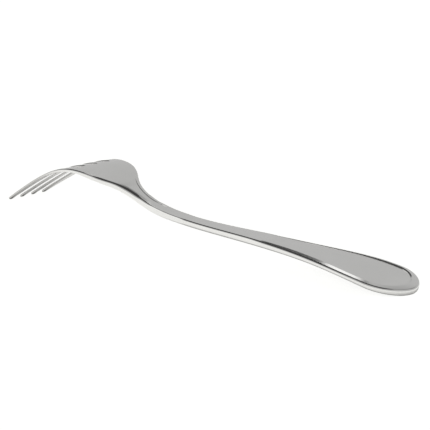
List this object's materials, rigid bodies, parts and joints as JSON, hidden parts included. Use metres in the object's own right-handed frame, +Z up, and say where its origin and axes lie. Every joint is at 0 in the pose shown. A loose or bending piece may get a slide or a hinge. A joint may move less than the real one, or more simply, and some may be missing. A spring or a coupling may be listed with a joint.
{
  "type": "dinner fork",
  "caption": "Stamped steel dinner fork with slender tines, a round-shouldered bowl and a widening handle whose back carries a sunk panel inside a border.",
  "frame": {"origin": "middle of the fork's bounding box on the surface it lies on", "axes": "+X from the tips of the tines to the end of the handle, +Y across the fork, +Z up; the fork lies face down, so +Z is on the side of its back"},
  "size_m": [0.1978, 0.026, 0.0207],
  "materials": {
    "polished_steel": "polished stainless steel with fine hairlines"
  },
  "bodies": {
    "root": {"fork": "polished_steel"}
  },
  "joints": []
}
